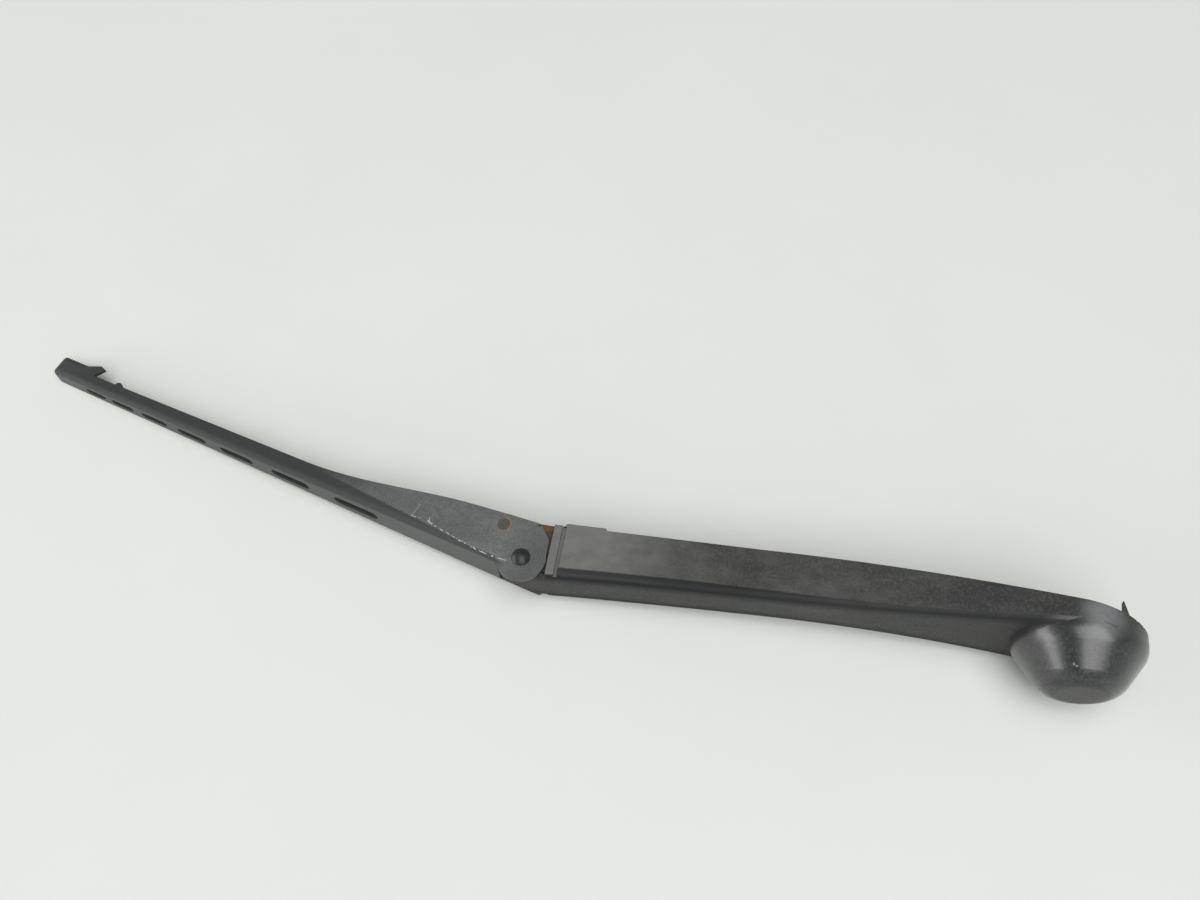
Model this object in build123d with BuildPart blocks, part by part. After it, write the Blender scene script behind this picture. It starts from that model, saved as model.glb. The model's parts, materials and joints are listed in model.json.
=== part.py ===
"""Windscreen wiper arm: a moulded head cover on a pressed-steel head, and a sprung, hinged retainer.

Millimetres. The origin is on the spindle axis, where the taper of the hub meets its straight land.
X runs along the head from the hinge to the spindle, -Y is the outer side that faces away from the glass,
and Z runs along the hinge axis, so that the arm lies on its side as it does on a bench.
"""
import os
from math import asin, cos, radians, sin, sqrt, tan

from build123d import *

# Head: places along the arm and widths
hinge_to_spindle = 195.2
hinge_height = -1.0
head_width = 19.0
flare_start = 108.2
dome_radius = 22.0
dome_height = 17.2
dome_plinth = 2.8
dome_draft = 34.0
blend_share = 0.95
dome_round = 9.0
cover_wall = 2.0
cover_fold = 2.0

# Head: outer crown and glass-side skirt, measured from the hinge axis
crown_hinge = 6.2
crown_middle = 2.1
crown_spindle = 0.4
skirt_hinge = 14.4
skirt_middle = 15.6
skirt_neck = 12.5
skirt_nose = 2.0
neck_reach = 36.0

# Cover details by the hinge
cover_setback = 9.8
lip_width = 3.0
groove_width = 1.5
groove_depth = 0.8
tongue_reach = 0.5
tongue_width = 14.2
tongue_round = 6.0
clip_start = 1.6
clip_length = 14.0
clip_height = 0.9
clip_bevel = 1.2

# Broken edge of the cover's nose
shard_place = 9.5
shard_width = 3.6
shard_height = 4.5
nub_height = 1.6
break_step = 0.15
jag_depth = 0.8
jag_pitch = 3.0

# Steel head channel
head_clearance = 0.3
head_sheet = 1.6
head_skirt_inset = 0.8
ear_skirt_inset = -0.5
web_setback = 38.0
ear_radius = 5.2
ear_crown_gap = 0.3
ear_slope_run = 4.0

# Spindle hub
hub_radius = 8.5
hub_land_radius = 4.2
hub_land = 6.0
hub_taper = 8.0
hub_mouth_radius = 5.4
hub_flange_radius = 11.5
hub_flange = 2.6
hub_bevel = 0.6

# Retainer
rest_angle = 16.0
retainer_reach = 218.4
retainer_sheet = 1.3
retainer_outer = 5.0
retainer_width = 18.4
retainer_waist = 14.0
retainer_tip_width = 10.0
retainer_fold = 2.3
waist_place = 98.0
shoulder_place = 12.0
root_depth = 14.8
root_slope_end = 25.0
root_slope_depth = 12.0
waist_depth = 1.7
tip_depth = 0.1
knuckle_radius = 9.2
ear_reach = 8.9
ear_corner = 3.4
web_end = 8.0

# Slots in the retainer's outer wall
slot_count = 7
slot_start = 60.0
slot_length = 19.8
slot_width = 4.8
slot_gap = 11.6
slot_shrink = 0.89
gap_shrink = 0.79
slot_narrowing = 0.93

# Blade seat at the tip
seat_length = 18.6
seat_depth = 3.7
barb_height = 1.5
barb_length = 3.5
barb_rake = 2.6
seat_round = 1.2
bump_radius = 1.6
bump_place = 187.0

# Hinge hardware
rivet_radius = 2.25
rivet_head_radius = 3.45
rivet_head_height = 1.7
rivet_tail_radius = 3.3
rivet_tail = 0.9
running_clearance = 0.05
washer_radius = 4.2
washer_clearance = 0.05

# Spring, its hook and its two pins
spring_pin_radius = 2.4
spring_pin_along = 11.8
spring_pin_across = 9.1
hook_sheet = 3.0
hook_eye = 4.4
hook_shank = 1.3
hook_length = 47.0
pin_clearance = 0.08
anchor_reach = 83.2
anchor_across = 10.0
anchor_radius = 2.0
spring_radius = 3.5
spring_bore = 2.1
spring_wire = 1.1
spring_ridges = 14
spring_end_disc = 1.5
coil_start = 26.0
ridge_depth = 0.8
loop_clearance = 0.3

# Values that follow from the sizes above
hinge = Vector(-hinge_to_spindle, hinge_height, 0)
half_head = head_width / 2
half_retainer = retainer_width / 2
cover_end = -hinge_to_spindle + cover_setback
nose = dome_radius + cover_wall
inner_gap = cover_wall + head_clearance
steel_half = half_head - inner_gap
retainer_inner = half_retainer - retainer_sheet
web_start = -hinge_to_spindle + web_setback
channel_end = hub_flange_radius + head_sheet
crown_root = hinge_height - crown_hinge
big = 4 * dome_radius

# The crown's arch and the skirt's curved edge, seen along the hinge axis
crown_arc = ThreePointArc(
    (cover_end, crown_root),
    (-hinge_to_spindle / 2, hinge_height - crown_middle),
    (0, hinge_height - crown_spindle),
)
skirt_arc = ThreePointArc(
    (nose, hinge_height + skirt_nose),
    (-neck_reach, hinge_height + skirt_neck),
    (-flare_start, hinge_height + skirt_middle),
)

anchor = Vector(-anchor_reach, hinge_height + anchor_across, 0)
outward = Vector(0, -1, 0)
head_side = Plane.XY
head_plan = Plane(origin=(0, 0, 0), x_dir=(1, 0, 0), z_dir=outward)
rest_x = Vector(cos(radians(rest_angle)), -sin(radians(rest_angle)), 0)
retainer_side = Plane(origin=hinge, x_dir=rest_x, z_dir=(0, 0, 1))
retainer_plan = Plane(origin=hinge, x_dir=rest_x, z_dir=-retainer_side.y_dir)
hinge_side = Plane(origin=hinge, x_dir=(1, 0, 0), z_dir=(0, 0, 1))
hinge_section = Plane(origin=hinge, x_dir=(1, 0, 0), z_dir=outward)
outer_wall = Plane(
    origin=hinge - retainer_side.y_dir * retainer_outer,
    x_dir=rest_x,
    z_dir=-retainer_side.y_dir,
)
spring_pin_place = hinge - rest_x * spring_pin_along + retainer_side.y_dir * spring_pin_across
pull = (anchor - spring_pin_place).normalized()
pull_length = (anchor - spring_pin_place).length
hook_side = Plane(origin=spring_pin_place, x_dir=pull, z_dir=(0, 0, 1))
hook_end = Plane(origin=spring_pin_place, x_dir=(0, 0, 1), z_dir=pull)
anchor_section = Plane(origin=anchor, x_dir=(1, 0, 0), z_dir=outward)


def flare_radius(inset: float) -> float:
    """Radius of the flare that runs from the parallel root into the round end."""
    return (flare_start**2 / (dome_radius - half_head) - (dome_radius + half_head)) / 2 + inset


def plan_half(x: float, inset: float) -> float:
    """Half width of the head at a place along the flare."""
    flare = flare_radius(inset)
    into_flare = max(x + flare_start, 0)
    return half_head - inset + flare - sqrt(flare**2 - into_flare**2)


def plan_outline(inset: float, start: float) -> Sketch:
    """Head seen along the spindle: parallel root, a flare on each side and the round end.

    Args:
        inset: how far the outline lies inside the cover's outer face.
        start: x of the outline's square end.
    """
    half = half_head - inset
    end_radius = dome_radius - inset
    flare = flare_radius(inset)
    share = end_radius / (flare + end_radius)
    touch = Vector(-flare_start * share, (half + flare) * share)
    lean = asin(flare_start / (flare + end_radius))
    mid_turn = lean / 2
    bend = Vector(-flare_start + flare * sin(mid_turn), half + flare * (1 - cos(mid_turn)))
    with BuildSketch(head_plan) as outline:
        with BuildLine():
            Line((start, half), (-flare_start, half))
            ThreePointArc((-flare_start, half), bend, touch)
            ThreePointArc(touch, (end_radius, 0), (touch.X, -touch.Y))
            ThreePointArc((touch.X, -touch.Y), (bend.X, -bend.Y), (-flare_start, -half))
            Line((-flare_start, -half), (start, -half))
            Line((start, -half), (start, half))
        make_face()
    return outline.sketch


def crown_at(x: float) -> float:
    """Y of the cover's outer crown at a place along the head."""
    centre = crown_arc.arc_center
    return centre.Y + sqrt(crown_arc.radius**2 - (x - centre.X) ** 2)


def skirt_at(x: float) -> float:
    """Y of the cover's glass-side edge at a place along the head."""
    if x < -flare_start:
        share = (x - cover_end) / (-flare_start - cover_end)
        return hinge_height + skirt_hinge + share * (skirt_middle - skirt_hinge)
    centre = skirt_arc.arc_center
    return centre.Y + sqrt(skirt_arc.radius**2 - (x - centre.X) ** 2)


def side_outline(crown_inset: float, skirt_inset: float, start: float, stop: float) -> Sketch:
    """Head seen along the hinge axis, from its arched crown to the edge of its skirt.

    Args:
        crown_inset: how far the crown lies inside the cover's outer face.
        skirt_inset: how far the glass-side edge is drawn back from the cover's own edge.
        start: x of the outline's square end by the hinge.
        stop: x of its square end by the nose.
    """
    middle = (start - flare_start) / 2
    crown_end = crown_at(0) + crown_inset
    with BuildSketch(head_side) as outline:
        with BuildLine():
            ThreePointArc(
                (start, crown_at(start) + crown_inset),
                (middle, crown_at(middle) + crown_inset),
                (0, crown_end),
            )
            Line((0, crown_end), (stop, crown_end))
            Line((stop, crown_end), (stop, skirt_at(stop) - skirt_inset))
            ThreePointArc(
                (stop, skirt_at(stop) - skirt_inset),
                (-neck_reach, skirt_at(-neck_reach) - skirt_inset),
                (-flare_start, skirt_at(-flare_start) - skirt_inset),
            )
            Line(
                (-flare_start, skirt_at(-flare_start) - skirt_inset),
                (start, skirt_at(start) - skirt_inset),
            )
            Line((start, skirt_at(start) - skirt_inset), (start, crown_at(start) + crown_inset))
        make_face()
    return outline.sketch


# Dome over the spindle nut, and the bowl inside it: a short straight plinth, then drafted walls
dome_seat = head_plan.offset(-crown_at(0) - cover_wall)
plinth_top = dome_seat.offset(cover_wall + dome_plinth)
plinth_depth = dome_plinth - crown_at(0)
dome_blend = blend_share * dome_plinth / tan(radians(dome_draft / 2))
with BuildPart() as dome_block:
    with BuildSketch(dome_seat):
        Circle(dome_radius)
    extrude(amount=cover_wall + dome_plinth)
    with BuildSketch(plinth_top):
        Circle(dome_radius)
    extrude(amount=dome_height - dome_plinth, taper=dome_draft)
    plinth_edge = dome_block.edges().filter_by_position(Axis.Y, -plinth_depth, -plinth_depth)
    fillet(plinth_edge, dome_blend)
    fillet(dome_block.faces().sort_by(Axis.Y)[0].edges(), dome_round)
with BuildPart() as dome_bowl:
    with BuildSketch(dome_seat):
        Circle(dome_radius - cover_wall)
    extrude(amount=cover_wall + dome_plinth)
    with BuildSketch(plinth_top):
        Circle(dome_radius - cover_wall)
    extrude(amount=dome_height - dome_plinth - cover_wall, taper=dome_draft)
    fillet(dome_bowl.faces().sort_by(Axis.Y)[0].edges(), dome_round - cover_wall)

# Hollow of the cover: what its walls leave free for the steel head and the spindle nut
hollow_start = cover_end - cover_wall
with BuildPart() as cover_hollow:
    extrude(plan_outline(cover_wall, hollow_start), big, outward, both=True)
    extrude(side_outline(cover_wall, -big, hollow_start, nose), big, both=True, mode=Mode.INTERSECT)
    add(dome_bowl.part)

# Wall of the round end, which the broken pieces still follow
with BuildPart() as end_wall:
    with BuildSketch(head_plan):
        Circle(dome_radius - break_step)
        Circle(dome_radius - cover_wall + break_step, mode=Mode.SUBTRACT)
    extrude(amount=big, both=True)

# Splinter left standing on the broken rim
with BuildPart() as shard:
    rim = skirt_at(shard_place)
    with BuildSketch(head_side):
        with BuildLine():
            Polyline(
                (shard_place - shard_width / 2, rim - shard_height / 2),
                (shard_place + shard_width / 2, rim - shard_height / 2),
                (shard_place - shard_width / 4, rim + shard_height),
                close=True,
            )
        make_face()
    extrude(amount=big)
    add(end_wall.part, mode=Mode.INTERSECT)

# Stub of the rim at the very end of the nose
with BuildPart() as nub:
    end_rim = skirt_at(dome_radius)
    with BuildSketch(Plane.YZ):
        with BuildLine():
            Polyline(
                (end_rim - nub_height, nub_height),
                (end_rim + nub_height, 0),
                (end_rim - nub_height, -nub_height),
                close=True,
            )
        make_face()
    extrude(amount=big)
    add(end_wall.part, mode=Mode.INTERSECT)

# Moulded cover, open towards the glass, with its dome over the spindle nut
with BuildPart() as head_cover:
    extrude(plan_outline(0, cover_end), big, outward, both=True)
    extrude(side_outline(0, 0, cover_end, nose), big, both=True, mode=Mode.INTERSECT)
    crown_face = head_cover.faces().filter_by(lambda f: f.normal_at().Y < -0.9)
    fold_edges = crown_face.edges().filter_by(lambda e: abs(e.center().Z) > half_head / 2)
    fillet(fold_edges.filter_by(lambda e: e.center().X < -dome_radius / 2), cover_fold)
    add(dome_block.part)
    add(cover_hollow.part, mode=Mode.SUBTRACT)
    # Tongue that closes the crown between the retainer's ears
    tongue_end = -hinge_to_spindle - tongue_reach
    with BuildSketch(head_plan.offset(-crown_root - cover_wall)) as tongue:
        with Locations(((tongue_end + cover_end) / 2 + head_clearance, 0)):
            Rectangle(cover_end - tongue_end + 2 * head_clearance, tongue_width)
        fillet(tongue.vertices().group_by(Axis.X)[0], tongue_round)
    extrude(amount=cover_wall)
    # Groove behind the lip, and a clip tab on each glass-side edge
    clip_from = cover_end + lip_width + clip_start
    clip_to = clip_from + clip_length
    for side in (1, -1):
        with BuildSketch(head_side.offset(side * half_head)) as groove:
            with Locations((cover_end + lip_width + groove_width / 2, 0)):
                Rectangle(groove_width, big)
        extrude(amount=-side * groove_depth, mode=Mode.SUBTRACT)
        with BuildSketch(head_side.offset(side * half_head)) as clip:
            with BuildLine():
                Polyline(
                    (clip_from - clip_bevel, skirt_at(clip_from) - clip_height / 2),
                    (clip_from, skirt_at(clip_from) + clip_height),
                    (clip_to, skirt_at(clip_to) + clip_height),
                    (clip_to + clip_bevel, skirt_at(clip_to) - clip_height / 2),
                    close=True,
                )
            make_face()
        extrude(amount=-side * cover_wall)
    # Broken rim of the nose
    for step in range(3):
        notch = shard_place + shard_width / 2 + (step + 0.5) * jag_pitch
        with BuildSketch(head_side) as jag:
            with BuildLine():
                Polyline(
                    (notch - jag_pitch / 2, skirt_at(notch) + jag_pitch),
                    (notch + jag_pitch / 4, skirt_at(notch) - jag_depth),
                    (notch + jag_pitch / 2, skirt_at(notch) + jag_pitch),
                    close=True,
                )
            make_face()
        extrude(amount=big, both=True, mode=Mode.SUBTRACT)
    add(shard.part)
    add(nub.part)
head_cover.part.label = "head_cover"

# Hollow of the steel channel
channel_inset = inner_gap + head_sheet
with BuildPart() as channel_hollow:
    extrude(plan_outline(channel_inset, web_start - head_sheet), big, outward, both=True)
    extrude(
        side_outline(channel_inset, -big, web_start - head_sheet, nose),
        big,
        both=True,
        mode=Mode.INTERSECT,
    )

# Pressed-steel head under the cover, with two ears at the hinge
with BuildPart() as arm_head:
    extrude(plan_outline(inner_gap, web_start), big, outward, both=True)
    extrude(
        side_outline(inner_gap, head_skirt_inset, web_start, channel_end),
        big,
        both=True,
        mode=Mode.INTERSECT,
    )
    add(channel_hollow.part, mode=Mode.SUBTRACT)
    ear_crown = crown_root + cover_wall + ear_crown_gap
    join = web_start + head_sheet
    for side in (1, -1):
        with BuildSketch(head_side.offset(side * steel_half)) as ear:
            with Locations((hinge.X, hinge.Y)):
                Circle(ear_radius)
            with BuildLine():
                Polyline(
                    (hinge.X, ear_crown),
                    (join, crown_at(join) + inner_gap),
                    (join, skirt_at(join) - head_skirt_inset),
                    (hinge.X + ear_slope_run, skirt_at(cover_end) - ear_skirt_inset),
                    (hinge.X - ear_radius * sin(radians(45)), hinge.Y + ear_radius * sin(radians(45))),
                    close=True,
                )
            make_face()
            with Locations((hinge.X, ear_crown - ear_radius)):
                Rectangle(4 * ear_radius, 2 * ear_radius, mode=Mode.SUBTRACT)
            with Locations((hinge.X, hinge.Y)):
                Circle(rivet_radius + running_clearance, mode=Mode.SUBTRACT)
        extrude(amount=-side * head_sheet)
    with BuildSketch(head_plan) as hub_hole:
        Circle(hub_radius)
    extrude(amount=big, both=True, mode=Mode.SUBTRACT)
    with BuildSketch(head_side) as anchor_holes:
        with Locations((anchor.X, anchor.Y)):
            Circle(anchor_radius)
    extrude(amount=big, both=True, mode=Mode.SUBTRACT)
arm_head.part.label = "arm_head"

# Hub with a straight land under the nut and a taper that grips the spindle
web_inside = max(crown_at(0), crown_at(-hub_radius), crown_at(-hub_flange_radius)) + channel_inset
with BuildPart() as spindle_hub:
    with BuildSketch(head_side) as hub_section:
        with BuildLine():
            Polyline(
                (hub_land_radius, 0),
                (hub_land_radius, -hub_land),
                (hub_radius, -hub_land),
                (hub_radius, web_inside),
                (hub_flange_radius, web_inside),
                (hub_flange_radius, web_inside + hub_flange),
                (hub_radius, web_inside + hub_flange),
                (hub_radius, hub_taper),
                (hub_mouth_radius, hub_taper),
                close=True,
            )
        make_face()
    revolve(axis=Axis.Y)
    chamfer(spindle_hub.faces().sort_by(Axis.Y)[0].outer_wire().edges(), hub_bevel)
spindle_hub.part.label = "spindle_hub"


def retainer_width_outline(inset: float) -> Sketch:
    """Retainer seen on its outer wall: parallel at the hinge, then tapered to the tip.

    Args:
        inset: how far the outline lies inside the outer faces.
    """
    root = half_retainer - inset
    waist = retainer_waist / 2 - inset
    tip = retainer_tip_width / 2 - inset
    reach = retainer_reach - inset
    with BuildSketch(retainer_plan) as outline:
        with BuildLine():
            Polyline(
                (knuckle_radius + ear_reach, root),
                (-shoulder_place, root),
                (-waist_place, waist),
                (-reach, tip),
                (-reach, -tip),
                (-waist_place, -waist),
                (-shoulder_place, -root),
                (knuckle_radius + ear_reach, -root),
                close=True,
            )
        make_face()
    return outline.sketch


# Hollow of the retainer, with the outer wall cut back before the knuckle
with BuildPart() as retainer_hollow:
    with BuildSketch(retainer_side) as hollow_side:
        with Locations((-retainer_reach + retainer_sheet, -retainer_outer + retainer_sheet)):
            Rectangle(big * 4, big, align=(Align.MIN, Align.MIN))
        with Locations((-web_end, -big / 2)):
            Rectangle(big, big, align=(Align.MIN, Align.MIN))
    extrude(amount=big, both=True)
    extrude(
        retainer_width_outline(retainer_sheet),
        big,
        retainer_plan.z_dir,
        both=True,
        mode=Mode.INTERSECT,
    )

# Pressed-steel retainer: a channel with rounded ears, slots in its outer wall and a barbed blade seat
with BuildPart() as retainer:
    seat_start = -retainer_reach + seat_length
    with BuildSketch(retainer_side) as wall:
        with BuildLine():
            Line((0, -retainer_outer), (-retainer_reach, -retainer_outer))
            Line((-retainer_reach, -retainer_outer), (-retainer_reach, seat_depth))
            Line((-retainer_reach, seat_depth), (seat_start - barb_length, seat_depth))
            Line((seat_start - barb_length, seat_depth), (seat_start, seat_depth + barb_height))
            Line((seat_start, seat_depth + barb_height), (seat_start + barb_rake, seat_depth + barb_height / 2))
            Line((seat_start + barb_rake, seat_depth + barb_height / 2), (seat_start, tip_depth))
            Line((seat_start, tip_depth), (-waist_place, waist_depth))
            Spline(
                (-waist_place, waist_depth),
                (-root_slope_end, root_slope_depth),
                tangents=[(1, 0), (root_slope_end, root_depth - root_slope_depth)],
            )
            Line((-root_slope_end, root_slope_depth), (0, root_depth))
            Line((0, root_depth), (0, -retainer_outer))
        make_face()
        with Locations((-bump_place, tip_depth)):
            Circle(bump_radius)
        fillet(wall.vertices().group_by(Axis.X)[0], seat_round)
        Circle(knuckle_radius)
    extrude(amount=half_retainer, both=True)
    # Flat ends of the ears, square to the head, with the corner by the glass cut off
    with BuildSketch(hinge_side) as ear_end:
        with BuildLine():
            Polyline(
                (0, 0),
                (ear_reach, 0),
                (ear_reach, root_depth - 2 * ear_corner),
                (ear_reach - ear_corner, root_depth - ear_corner / 2),
                (0, root_depth - ear_corner / 2),
                close=True,
            )
        make_face()
    extrude(amount=half_retainer, both=True)
    # The lower ear ends flush with the outer wall
    with BuildSketch(retainer_side) as lower_trim:
        with Locations((0, -retainer_outer)):
            Rectangle(2 * big, big, align=(Align.CENTER, Align.MAX))
    extrude(amount=-big, mode=Mode.SUBTRACT)
    extrude(
        retainer_width_outline(0),
        big,
        retainer_plan.z_dir,
        both=True,
        mode=Mode.INTERSECT,
    )
    folds = retainer.edges().filter_by(
        lambda e: abs(retainer_side.to_local_coords(e.center()).Y + retainer_outer) < 0.01
        and abs(e.center().Z) > retainer_tip_width / 4
        and e.length > retainer_width
    )
    fillet(folds, retainer_fold)
    add(retainer_hollow.part, mode=Mode.SUBTRACT)
    # Slots that shorten and narrow towards the tip
    along = slot_start
    for step in range(slot_count):
        length = slot_length * slot_shrink**step
        with BuildSketch(outer_wall) as slot:
            with Locations((-along - length / 2, 0)):
                SlotOverall(length, slot_width * slot_narrowing**step)
        extrude(amount=-2 * retainer_sheet, mode=Mode.SUBTRACT)
        along += length + slot_gap * gap_shrink**step
    with BuildSketch(retainer_side) as pin_holes:
        Circle(rivet_radius)
        with Locations((-spring_pin_along, spring_pin_across)):
            Circle(spring_pin_radius)
    extrude(amount=big, both=True, mode=Mode.SUBTRACT)
retainer.part.label = "retainer"

# Stub rivets of the hinge, one through each pair of ears, with a domed head outside
tail_face = steel_half - head_sheet - running_clearance
tail_end = tail_face - rivet_tail
head_top = half_retainer + rivet_head_height
cap_radius = (rivet_head_radius**2 + rivet_head_height**2) / (2 * rivet_head_height)
cap_turn = asin(rivet_head_radius / cap_radius) / 2
cap_middle = (cap_radius * sin(cap_turn), head_top - cap_radius * (1 - cos(cap_turn)))
with BuildPart() as hinge_rivet_upper:
    with BuildSketch(hinge_section) as rivet_section:
        with BuildLine():
            Polyline(
                (0, head_top),
                (0, tail_end),
                (rivet_tail_radius, tail_end),
                (rivet_tail_radius, tail_face),
                (rivet_radius, tail_face),
                (rivet_radius, half_retainer),
                (rivet_head_radius, half_retainer),
            )
            ThreePointArc((rivet_head_radius, half_retainer), cap_middle, (0, head_top))
        make_face()
    revolve(axis=Axis(hinge, (0, 0, 1)))
hinge_rivet_upper.part.label = "hinge_rivet_upper"
with BuildPart() as hinge_rivet_lower:
    add(mirror(hinge_rivet_upper.part, about=Plane.XY, mode=Mode.PRIVATE))
hinge_rivet_lower.part.label = "hinge_rivet_lower"

# Washers that keep the ears apart
washer_base = steel_half + washer_clearance
with BuildPart() as hinge_washer_upper:
    with BuildSketch(hinge_side.offset(washer_base)):
        Circle(washer_radius)
        Circle(rivet_radius + running_clearance, mode=Mode.SUBTRACT)
    extrude(amount=retainer_inner - steel_half - 2 * washer_clearance)
hinge_washer_upper.part.label = "hinge_washer_upper"
with BuildPart() as hinge_washer_lower:
    add(mirror(hinge_washer_upper.part, about=Plane.XY, mode=Mode.PRIVATE))
hinge_washer_lower.part.label = "hinge_washer_lower"

# Pin across the retainer that the spring pulls on
with BuildPart() as spring_pin:
    with BuildSketch(hook_side):
        Circle(spring_pin_radius)
    extrude(amount=half_retainer, both=True)
spring_pin.part.label = "spring_pin"

# Hook on the spring pin, with a straight shank that slides in the spring's bore
with BuildPart() as spring_hook:
    with BuildSketch(hook_side) as eye:
        Circle(hook_eye)
    extrude(amount=hook_sheet / 2, both=True)
    with BuildSketch(hook_end) as shank:
        Circle(hook_shank)
    extrude(amount=hook_length)
    with BuildSketch(hook_side) as eye_hole:
        Circle(spring_pin_radius + pin_clearance)
    extrude(amount=hook_sheet, both=True, mode=Mode.SUBTRACT)
spring_hook.part.label = "spring_hook"

# Pin across the steel head that holds the spring's other end
with BuildPart() as anchor_pin:
    with BuildSketch(head_side):
        with Locations((anchor.X, anchor.Y)):
            Circle(anchor_radius)
    extrude(amount=plan_half(anchor.X - anchor_radius, inner_gap), both=True)
anchor_pin.part.label = "anchor_pin"

# Close-wound tension spring, open at the hook and closed where its loop goes round the anchor pin
loop_radius = anchor_radius + loop_clearance + spring_wire
coil_end = pull_length - loop_radius
coil_pitch = (coil_end - coil_start) / spring_ridges
coil_line = [
    (coil_end, spring_radius - ridge_depth),
    (coil_end, 0),
    (coil_end - spring_end_disc, 0),
    (coil_end - spring_end_disc, spring_bore),
    (coil_start, spring_bore),
    (coil_start, spring_radius - ridge_depth),
]
for turn in range(spring_ridges - 1):
    coil_line.append((coil_start + (turn + 0.5) * coil_pitch, spring_radius))
    coil_line.append((coil_start + (turn + 1) * coil_pitch, spring_radius - ridge_depth))
coil_line.append((coil_end - coil_pitch / 2, spring_radius))
with BuildPart() as tension_spring:
    with BuildSketch(hook_side) as coil_section:
        with BuildLine():
            Polyline(*coil_line, close=True)
        make_face()
    revolve(axis=Axis(spring_pin_place, pull))
    with BuildSketch(anchor_section) as loop_section:
        with Locations((loop_radius, 0)):
            Circle(spring_wire)
    revolve(axis=Axis(anchor, (0, 0, 1)))
tension_spring.part.label = "tension_spring"

os.makedirs("parts", exist_ok=True)
for piece in (
    head_cover,
    arm_head,
    spindle_hub,
    anchor_pin,
    hinge_washer_upper,
    hinge_washer_lower,
    retainer,
    hinge_rivet_upper,
    hinge_rivet_lower,
    spring_pin,
    spring_hook,
    tension_spring,
):
    export_step(piece.part, f"parts/{piece.part.label}.step")
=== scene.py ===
"""Looks of a windscreen wiper arm that lies on its side on a pale bench.

Every solid keeps its own frame: metres, origin on the spindle axis, X from the hinge to the spindle, -Y the
outer side that faces away from the glass, Z along the hinge axis.
"""
import json
import logging
from dataclasses import dataclass
from enum import Enum
from math import cos, pi, radians, sin
from typing import Any, Optional, Union

import bpy
from mathutils import Matrix, Vector


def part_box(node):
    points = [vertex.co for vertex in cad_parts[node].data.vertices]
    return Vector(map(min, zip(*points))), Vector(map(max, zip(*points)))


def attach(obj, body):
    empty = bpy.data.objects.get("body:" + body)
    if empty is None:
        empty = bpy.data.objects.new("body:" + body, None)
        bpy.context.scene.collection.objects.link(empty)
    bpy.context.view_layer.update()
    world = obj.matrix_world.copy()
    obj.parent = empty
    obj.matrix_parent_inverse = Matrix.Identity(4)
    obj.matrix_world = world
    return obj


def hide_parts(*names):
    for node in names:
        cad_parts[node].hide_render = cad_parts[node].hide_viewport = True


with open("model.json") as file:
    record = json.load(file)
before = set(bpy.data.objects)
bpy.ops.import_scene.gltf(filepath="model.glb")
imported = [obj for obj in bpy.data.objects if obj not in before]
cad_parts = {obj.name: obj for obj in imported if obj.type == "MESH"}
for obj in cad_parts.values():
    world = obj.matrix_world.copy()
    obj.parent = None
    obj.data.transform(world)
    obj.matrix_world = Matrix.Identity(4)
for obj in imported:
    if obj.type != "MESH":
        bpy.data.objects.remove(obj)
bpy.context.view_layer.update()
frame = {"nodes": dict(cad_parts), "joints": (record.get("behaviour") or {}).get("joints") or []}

MM = 0.001
log = logging.getLogger("wiper_arm")

Colour = tuple[float, float, float]
Place = tuple[float, float, float]
Span = tuple[float, float]

ALONG_HEAD = Vector((1, 0, 0))
TO_GLASS = Vector((0, 1, 0))
ALONG_HINGE = Vector((0, 0, 1))
SPINDLE = Vector((0, 0, 0))


def at(place: Place) -> Vector:
    """A place that is given in millimetres."""
    return Vector(place) * MM


class Wire:
    """One output of a shader node, with arithmetic that adds Math nodes."""

    def __init__(self, board: "Board", socket: bpy.types.NodeSocket) -> None:
        """Holds the board that the socket is on."""
        self.board = board
        self.socket = socket

    def math(self, operation: str, first: Any, second: Any = 0.0) -> "Wire":
        """One Math node on two values."""
        return self.board.node("ShaderNodeMath", {"operation": operation}, {0: first, 1: second})

    def __add__(self, other: Any) -> "Wire":
        """Sum."""
        return self.math("ADD", self, other)

    def __radd__(self, other: Any) -> "Wire":
        """Sum with a number on the left."""
        return self.math("ADD", other, self)

    def __sub__(self, other: Any) -> "Wire":
        """Difference."""
        return self.math("SUBTRACT", self, other)

    def __rsub__(self, other: Any) -> "Wire":
        """Difference with a number on the left."""
        return self.math("SUBTRACT", other, self)

    def __mul__(self, other: Any) -> "Wire":
        """Product."""
        return self.math("MULTIPLY", self, other)

    def __rmul__(self, other: Any) -> "Wire":
        """Product with a number on the left."""
        return self.math("MULTIPLY", other, self)

    def magnitude(self) -> "Wire":
        """The value without its sign."""
        return self.math("ABSOLUTE", self)

    def __or__(self, other: Any) -> "Wire":
        """The larger of two masks."""
        return self.math("MAXIMUM", self, other)


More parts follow.
